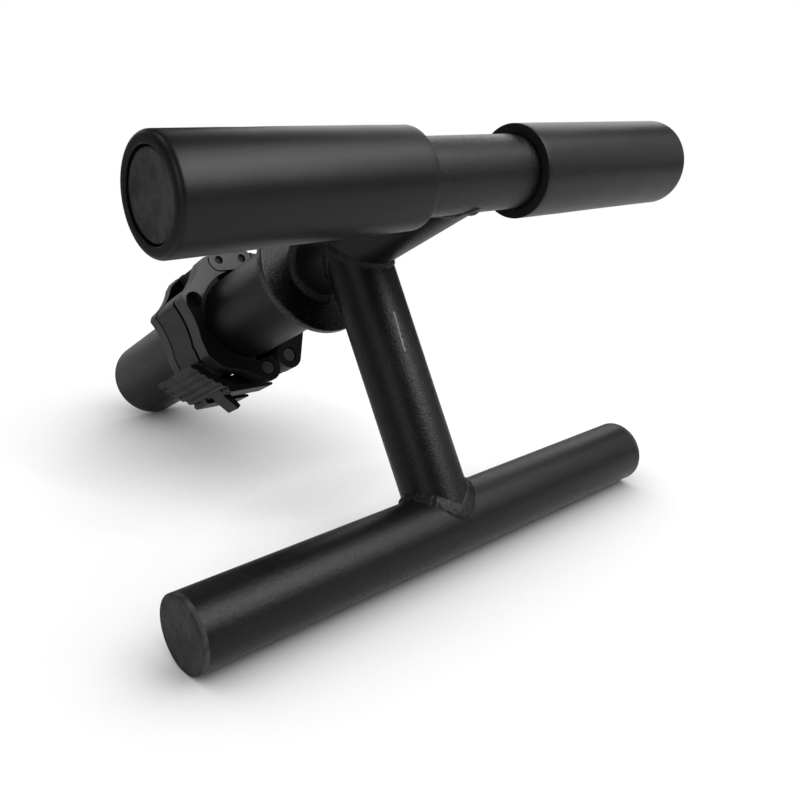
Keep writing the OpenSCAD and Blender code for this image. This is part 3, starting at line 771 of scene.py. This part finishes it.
class TIBBAR_OT_weld_beads(bpy.types.Operator):
    """Build the rippled weld beads, which stand for their plain CAD beads"""

    bl_idname = "tibbar.weld_beads"
    bl_label = "Weld Beads"

    def execute(self, context):
        x, y, z = Vector((1, 0, 0)), Vector((0, 1, 0)), Vector((0, 0, 1))
        post = Vector((0, LOW_BAR.y, 0))
        disk_near = y * (2 * own(middle("stop_disk")).y - DISK_FAR)
        group = bead_tree()
        paint = powder_coat("weld_paint", gloss=-0.08, grain=0.8)
        seam, corner = sizes().seam_width, sizes().bead_width
        paths = {
            "spine_to_upper_bar": (saddle_path(TUBE_R, TUBE_R, Vector(), x, z, y), seam),
            "post_to_spine": (saddle_path(TUBE_R, TUBE_R, post, y, x, -z), seam),
            "post_to_lower_bar": (saddle_path(TUBE_R, LOWER_R, LOW_BAR, x, y, z), corner),
            "spine_to_disk": (ring_path(TUBE_R, disk_near, x, z, y), corner),
        }
        for number, (name, (path, width)) in enumerate(paths.items()):
            piece = grown("bead_" + name, path, group, {
                "Width": width, "Ripple": sizes().bead_ripple,
                "Pitch": sizes().bead_pitch, "Seed": sizes().bead_seed + number,
                "Material": paint})
            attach(piece, "frame")
            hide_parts("weld_" + name)
        return {"FINISHED"}


# Noises of the paint: size of the patches in millimetres, detail and roughness
COAT_FINE = (0.7, 2, 0.6)
COAT_COARSE = (1.5, 3, 0.6)
COAT_CLOUDS = (26, 3, 0.5)
# Values of the fine noise between which a light speck shows, partly the paint's own speck
# and partly a painted glint of its sparkle
SPECK_AND_GLINT_FADE = (0.58, 0.72)
# Brightness of the paint's clouds and specks, times its colour, and how much of the specks
# shows. The specks are partly painted glints.
COAT_TONES = (0.85, 1.2)
SPECK_AND_GLINT_TONE = 4.5
SPECK_AND_GLINT_SHARE = 0.6
# Roughness where nothing adds to it, and the depth of the texture in millimetres
COAT_ROUGHNESS = 0.40
COAT_RELIEF = 0.22


def powder_coat(name, gloss=0.0, grain=1.0, marks=None):
    """Fine textured black paint, whose light specks are partly painted glints of its
    sparkle.
    Marks adds worn places: it takes the finish and gives a share for each point."""
    finish = Finish(name)
    fine = finish.noise(*COAT_FINE)
    coarse = finish.noise(*COAT_COARSE)
    clouds = finish.noise(*COAT_CLOUDS)
    coat = colours().coat
    colour = finish.between(clouds.fade(*CLOUD_FADE), coat, *COAT_TONES)
    # Light specks: partly the paint's own specks, partly painted glints of its sparkle
    colour = finish.mix(fine.fade(*SPECK_AND_GLINT_FADE) * SPECK_AND_GLINT_SHARE, colour,
                        shade(coat, SPECK_AND_GLINT_TONE))
    roughness = COAT_ROUGHNESS - gloss + (coarse - 0.5) * 0.3 + (clouds - 0.5) * 0.06
    if marks is not None:
        worn = marks(finish)
        colour = finish.mix(worn, colour, colours().scuff)
        roughness = roughness + worn * 0.08
    texture = finish.relief(fine * 0.45 + coarse * 0.55, COAT_RELIEF * grain)
    return finish.close(colour, roughness, texture, SHEEN)


# Ends of the scratch on the post, the distances from it in millimetres at which it fades
# in, and its breaks
SCRATCH = (at(-2.5, 64.2, -39), at(-3.4, 64.4, -58))
SCRATCH_FADE = (0.75, 0.3)
SCRATCH_BREAKS = (1.6, 2, 0.6)
# How far inside the disk's radius its worn rim starts and is full, in millimetres
RIM_FADE = (0.9, 0.1)
RIM_WEAR = (2.5, 3, 0.6)
# Lengthwise rubs on the sleeve, and how far from its far end in millimetres that end's
# wear starts and is full
SLEEVE_RUBS = (1.6, 3, 0.65, (BACK, 22))
SLEEVE_EDGE_FADE = (-1.2, -0.1)


def post_marks(finish):
    """A long thin scratch down the post's front."""
    scratch = finish.near(*SCRATCH).fade(*SCRATCH_FADE)
    return scratch * finish.noise(*SCRATCH_BREAKS).fade(0.35, 0.5) * 0.9


def disk_marks(finish):
    """The rim, where paint is thinner and plates rub it."""
    start, full = RIM_FADE
    rim = finish.off_axis(BACK).fade(DISK_R - start, DISK_R - full)
    return rim * (0.07 + finish.noise(*RIM_WEAR).fade(0.45, 0.65) * 0.09)


def sleeve_marks(finish):
    """Faint lengthwise rubs from plates, and a worn far edge."""
    far = finish.along(BACK, at(0, DISK_FAR + SLEEVE_LEN, 0))
    rub = finish.noise(*SLEEVE_RUBS).fade(0.6, 0.8) * 0.04
    return rub + far.fade(*SLEEVE_EDGE_FADE) * 0.07


class TIBBAR_OT_frame_paint(bpy.types.Operator):
    """Paint the tubes, the stop disk and the plate sleeve"""

    bl_idname = "tibbar.frame_paint"
    bl_label = "Frame Paint"

    def execute(self, context):
        paint_nodes(powder_coat("bar_paint"), "upper_bar_tube", "lower_bar_tube",
                    "spine_tube")
        paint_nodes(powder_coat("post_paint", marks=post_marks), "post_tube")
        paint_nodes(powder_coat("disk_paint", gloss=0.12, grain=0.4, marks=disk_marks),
                    "stop_disk")
        paint_nodes(powder_coat("sleeve_paint", marks=sleeve_marks), "sleeve_tube")
        return {"FINISHED"}


# Noise values between which cloudy plastic goes from dark to light
PLASTIC_CLOUD_FADE = (0.35, 0.68)


def moulded(name, base, roughness, grain, depth, specular=SHEEN, cloud=12, spread=0.3,
            edge=None):
    """Moulded plastic: patches of its grain and of its clouds in millimetres, depth of the
    grain, and how far the clouds change the colour. Edge is a function that takes the
    finish, the colour and the roughness and gives both back with more detail."""
    finish = Finish(name)
    fine = finish.noise(grain, 2, 0.6)
    clouds = finish.noise(cloud, 4, 0.6)
    colour = finish.between(clouds.fade(*PLASTIC_CLOUD_FADE), base, 1 - spread, 1 + spread)
    tone = roughness + (fine - 0.5) * 0.1 + (clouds - 0.5) * 0.1
    if edge is not None:
        colour, tone = edge(finish, colour, tone)
    return finish.close(colour, tone, finish.relief(fine, depth), specular)


class TIBBAR_OT_plugs(bpy.types.Operator):
    """Finish the end plugs and caps"""

    bl_idname = "tibbar.plugs"
    bl_label = "Plugs and Caps"

    def execute(self, context):
        paint_nodes(moulded("plug_plastic_skin", colours().plug, roughness=0.62, grain=0.5,
                            depth=0.03, cloud=6, spread=0.45),
                    "upper_bar_plug_left", "upper_bar_plug_right", "lower_bar_cap_left",
                    "lower_bar_cap_right", "sleeve_end_plug")
        return {"FINISHED"}


# The hinge link's near face is the collar's near face. It lies this far in front of the
# link's middle, in millimetres.
LINK_HALF = 2
COLLAR_FACE = at(0, own(middle("hinge_link_near")).y - LINK_HALF, 0)
# How far behind that face the groove's painted shade starts and ends, reaching a little
# past the groove's walls, and the far flange starts
GROOVE = (10.4, 13.5)
FAR_FLANGE = 37.3
# Height of the left lug's middle above the sleeve's axis, and the heights at which the
# jaws' faces start to dull and are dull
LUG_UP = 13.6
DULL_FADE = (LUG_UP + 1, LUG_UP - 3)
# Axes and radii of the recesses in the jaws' lugs and round the latch pins' heads, which
# get painted shade
RECESSES = ((at(-29.2, 0, LUG_UP), 4.8), (at(33.2, 0, -3.5), 4.8),
            (middle("lever_pivot_pins"), 4.6), (middle("catch_pin"), 4.6))
# Radius of the hinge links' pin holes, in millimetres
HINGE_HOLE = 2.4
# Brightness of the jaws' flanges and of the painted shade on the faces across the sleeve,
# in the pin holes and in the groove and recesses, times the collar's colour
FLANGE_TONE = 2.9
ACROSS_SHADE_TONE = 0.1
HOLE_SHADE_TONE = 0.08
GROOVE_SHADE_TONE = 0.05
# How much smoother the jaws' faces across the sleeve are, and how much rougher their lower
# part and the groove and recesses are
FACE_GLOSS = 0.37
FACE_DULL = 0.9
GROOVE_DULL = 0.9
# Width in millimetres over which the painted shade of the groove and the recesses fades
# outwards at its edges, and over which the other edges do
SHADE_BLUR = 0.15
BLUR = 0.1
# How squarely a face looks along the sleeve where it starts and ends to count as across
ACROSS_FADE = (0.9, 0.99)


def across_sleeve(finish):
    """1 on the faces that look along the sleeve and 0 on the band round it."""
    return abs(finish.facing_along(BACK)).fade(*ACROSS_FADE)


def lever_look(finish, colour, tone):
    """The lever's ends are painted dark as shade, and are dull."""
    end = across_sleeve(finish)
    # Painted shade on the lever's faces across the sleeve
    return finish.mix(end, colour, shade(colours().collar, ACROSS_SHADE_TONE)), tone + end * 0.5


def jaw_look(finish, colour, tone):
    """Pale flanges round the band, faces across the sleeve painted dark as shade that are
    smooth above the lugs and dull below them, and painted shade in the groove and recesses."""
    start, end_of_groove = GROOVE
    behind = finish.along(BACK, COLLAR_FACE)
    flanges = behind.fade(end_of_groove, start) + behind.fade(FAR_FLANGE - BLUR, FAR_FLANGE)
    colour = finish.mix(flanges, colour, shade(colours().collar, FLANGE_TONE))
    end = across_sleeve(finish)
    low = finish.along(UP).fade(*DULL_FADE)
    # Painted shade on the faces across the sleeve, which face away from the light
    colour = finish.mix(end, colour, shade(colours().collar, ACROSS_SHADE_TONE))
    tone = tone + end * (low * FACE_DULL - FACE_GLOSS)
    # Painted shade in the groove and in the recesses
    dark = (behind.fade(start - SHADE_BLUR, start)
            * behind.fade(end_of_groove + SHADE_BLUR, end_of_groove))
    for centre, radius in RECESSES:
        recess = finish.off_axis(BACK, centre).fade(radius + SHADE_BLUR, radius - BLUR / 2)
        dark = dark.larger(recess)
    colour = finish.mix(dark, colour, shade(colours().collar, GROOVE_SHADE_TONE))
    return colour, tone + dark * GROOVE_DULL


def link_look(finish, colour, tone):
    """The hinge links are painted dark as shade inside their pin holes."""
    near = finish.off_axis(BACK, middle("hinge_pin_left"))
    near = near.smaller(finish.off_axis(BACK, middle("hinge_pin_right")))
    # Painted shade inside the pin holes
    dark = near.fade(HINGE_HOLE + BLUR, HINGE_HOLE - BLUR)
    return finish.mix(dark, colour, shade(colours().collar, HOLE_SHADE_TONE)), tone + dark * 0.3


class TIBBAR_OT_collar(bpy.types.Operator):
    """Finish the collar's jaws, pads, links, lever and pins"""

    bl_idname = "tibbar.collar"
    bl_label = "Plate Collar"

    def execute(self, context):
        collar = colours().collar
        shell = moulded("jaw_skin", shade(collar, 1.4), roughness=0.5, grain=0.3,
                        depth=0.02, edge=jaw_look)
        lever = moulded("lever_skin", shade(collar, 2.6), roughness=0.48, grain=0.3,
                        depth=0.02, edge=lever_look)
        gloss = moulded("link_skin", collar, roughness=0.2, grain=0.8, depth=0.006,
                        spread=0.15, edge=link_look)
        rubber = moulded("pad_skin", shade(colours().foam, 0.8), roughness=0.75, grain=0.4,
                         depth=0.05, specular=0.35)
        steel = moulded("pin_steel_skin", shade(collar, 0.6), roughness=0.66, grain=0.25,
                        depth=0.01, cloud=2, spread=0.35)
        # The hinge pins lie in holes, in the shade of the links
        sunk = moulded("sunk_pin_skin", shade(collar, 0.2), roughness=0.6, grain=0.3,
                       depth=0.01)
        softened("collar_jaw_left", 0.5, shell)
        softened("collar_jaw_right", 0.5, shell)
        softened("latch_lever", 0.35, lever)
        softened("latch_link", 0.5, lever)
        softened("hinge_link_near", 0.6, gloss)
        softened("hinge_link_far", 0.6, gloss)
        paint_nodes(rubber, "jaw_pad_left", "jaw_pad_right")
        paint_nodes(steel, "lever_pivot_pins", "lever_link_pin", "catch_pin")
        paint_nodes(sunk, "hinge_pin_left", "hinge_pin_right")
        return {"FINISHED"}


# The camera's place along the bar's own axes in millimetres, and its right, down and
# forward directions along them
CAMERA_AT = (-278.47, -245.48, -97.86)
CAMERA_RIGHT = (0.73380, -0.60385, -0.31130)
CAMERA_DOWN = (-0.20972, 0.23450, -0.94923)
CAMERA_FORWARD = (0.64618, 0.76183, 0.04544)
SENSOR_WIDTH = 36
CLIP_START = 0.01
# The point that the lights face, and how far from it they stand, in metres
LIT_POINT = Vector((0, -0.05, 0.1))
LIGHT_DISTANCE = 1.3
# Each light's degrees to the right of the camera and up, its width and height in metres,
# and the studio value that holds its power
LIGHTS = {
    "key_light": (58, 38, 0.6, 0.75, "key"),
    "side_light": (90, 53, 0.7, 0.7, "side"),
    "low_light": (98, 20, 0.8, 0.8, "low"),
    "fill_light": (-30, 24, 0.6, 0.8, "fill"),
    "back_light": (162, 28, 0.9, 0.7, "back"),
    "rim_light_high": (-90, 62, 0.6, 0.6, "rim"),
    "rim_light_low": (-138, 14, 0.9, 0.7, "rim"),
}


def soft_box(name, round_turn, climb, width, height, power):
    """A light that faces the object. Its place is given by degrees to the right of the
    camera, seen from the object, and degrees up."""
    light = bpy.data.lights.new(name, "AREA")
    light.shape = "RECTANGLE"
    light.size, light.size_y = width, height
    light.energy = power
    holder = new_object(name, light)
    toward = at(*CAMERA_AT) - LIT_POINT
    turn = math.atan2(toward.y, toward.x) + math.radians(round_turn)
    up = math.radians(climb)
    away = Vector((math.cos(turn) * math.cos(up), math.sin(turn) * math.cos(up),
                   math.sin(up)))
    holder.location = LIT_POINT + away * LIGHT_DISTANCE
    holder.rotation_euler = (-away).to_track_quat("-Z", "Y").to_euler()


# Half the floor's width in metres, and its cells along each side
FLOOR_HALF = 4.0
FLOOR_CELLS = 40
# How much lighter the floor is to the camera than in the light on the object, and how far
# from its middle in metres shadows start and end to fade out
CAMERA_GAIN = 1.9
SHADOW_REACH = (0.22, 0.4)
# Near the object, the share of the camera's floor that is glow with a painted contact
# shadow, how far that painted shadow reaches in metres, its depth and its samples
CONTACT_SHARE = 0.87
CONTACT_REACH = 0.1
CONTACT_DEPTH = 1.6
CONTACT_SAMPLES = 16
# Share of the camera's white floor that gloss on the object shows
GLOSSY_GLOW = 0.1


def pale_floor():
    """A floor that the camera sees as white where no shadow falls. Close to the object, a
    painted contact shadow darkens its glow and the lamps' shadow shows faintly. Further
    away both fade out, so that no horizon shows."""
    bm = bmesh.new()
    bmesh.ops.create_grid(bm, x_segments=FLOOR_CELLS, y_segments=FLOOR_CELLS,
                          size=FLOOR_HALF)
    floor = new_object("floor", as_mesh(bm, "floor"))
    finish = Finish("floor_paint")
    seen = finish.node("ShaderNodeLightPath", {}, {}, "Is Camera Ray")
    glossy = finish.node("ShaderNodeLightPath", {}, {}, "Is Glossy Ray")
    paper = finish.mix(seen, tuple(studio().floor), shade(studio().floor, CAMERA_GAIN))
    matte = finish.node("ShaderNodeBsdfDiffuse", {}, {"Color": paper})
    painted_contact_shadow = finish.node("ShaderNodeAmbientOcclusion", {"samples": CONTACT_SAMPLES},
                           {"Distance": CONTACT_REACH}, "AO")
    far = finish.vector_maths("LENGTH", (finish.place,), "Value").fade(*SHADOW_REACH)
    # Ambient occlusion darkens the glow near the object: a painted contact shadow
    white = far.larger(painted_contact_shadow.power(CONTACT_DEPTH))
    glow = finish.node("ShaderNodeEmission", {}, {"Strength": white})
    share = far + (1 - far) * CONTACT_SHARE
    both = finish.node("ShaderNodeMixShader", {},
                       (share * seen + glossy * GLOSSY_GLOW, matte, glow))
    floor.data.materials.append(finish.end(both))


def surroundings():
    """A white room to the camera, and a dimmer one in the light on the object."""
    world = bpy.data.worlds.new("room")
    world.use_nodes = True
    bpy.context.scene.world = world
    room = Tree(world.node_tree)
    room.nodes.clear()
    seen = room.node("ShaderNodeLightPath", {}, {}, "Is Camera Ray").larger(
        room.node("ShaderNodeLightPath", {}, {}, "Is Transmission Ray"))
    strength = room.node("ShaderNodeMapRange", {},
                         {"Value": seen, "To Min": studio().surround, "To Max": 1.0})
    backdrop = room.node("ShaderNodeBackground", {},
                         {"Color": (1, 1, 1, 1), "Strength": strength})
    last = room.nodes.new("ShaderNodeOutputWorld")
    room.links.new(backdrop.socket, last.inputs["Surface"])


def solved_camera():
    """The camera, where the photo's own edges put it."""
    lens = bpy.data.cameras.new("camera")
    lens.lens = studio().lens
    lens.sensor_width = SENSOR_WIDTH
    lens.sensor_fit = "HORIZONTAL"
    lens.clip_start = CLIP_START
    camera = new_object("camera", lens)
    columns = (TURN @ Vector(CAMERA_RIGHT), -(TURN @ Vector(CAMERA_DOWN)),
               -(TURN @ Vector(CAMERA_FORWARD)))
    turn = Matrix(columns).transposed().to_4x4()
    camera.matrix_world = Matrix.Translation(at(*CAMERA_AT)) @ turn
    return camera


class TIBBAR_OT_studio(bpy.types.Operator):
    """Set up the floor, the room, the lights and the camera"""

    bl_idname = "tibbar.studio"
    bl_label = "Studio"

    def execute(self, context):
        context.scene.view_settings.view_transform = "Standard"
        pale_floor()
        surroundings()
        for name, (turn, climb, width, height, power) in LIGHTS.items():
            soft_box(name, turn, climb, width, height, getattr(studio(), power))
        context.scene.camera = solved_camera()
        return {"FINISHED"}


class TIBBAR_PT_panel(bpy.types.Panel):
    """Lists the pieces and the values that shape them"""

    bl_label = "Tib Bar"
    bl_idname = "TIBBAR_PT_panel"
    bl_space_type = "VIEW_3D"
    bl_region_type = "UI"
    bl_category = "Tib Bar"

    def draw(self, context):
        for step in STEPS:
            self.layout.operator(step.bl_idname)
        for group in (colours(), sizes(), studio()):
            for name in group.__annotations__:
                self.layout.prop(group, name)


STEPS = (TIBBAR_OT_studio, TIBBAR_OT_foam_grips, TIBBAR_OT_weld_beads,
         TIBBAR_OT_frame_paint, TIBBAR_OT_plugs, TIBBAR_OT_collar)
GROUPS = {"tib_bar_colours": BarColours, "tib_bar_sizes": BarSizes,
          "tib_bar_studio": Studio}


def register():
    for kind in (*GROUPS.values(), *STEPS, TIBBAR_PT_panel):
        bpy.utils.register_class(kind)
    for name, kind in GROUPS.items():
        setattr(bpy.types.Scene, name, PointerProperty(type=kind))


def unregister():
    for name in GROUPS:
        delattr(bpy.types.Scene, name)
    for kind in (TIBBAR_PT_panel, *reversed(STEPS), *reversed(list(GROUPS.values()))):
        bpy.utils.unregister_class(kind)


def main():
    register()
    for step in STEPS:
        group, name = step.bl_idname.split(".")
        getattr(getattr(bpy.ops, group), name)()


if __name__ == "__main__":
    main()
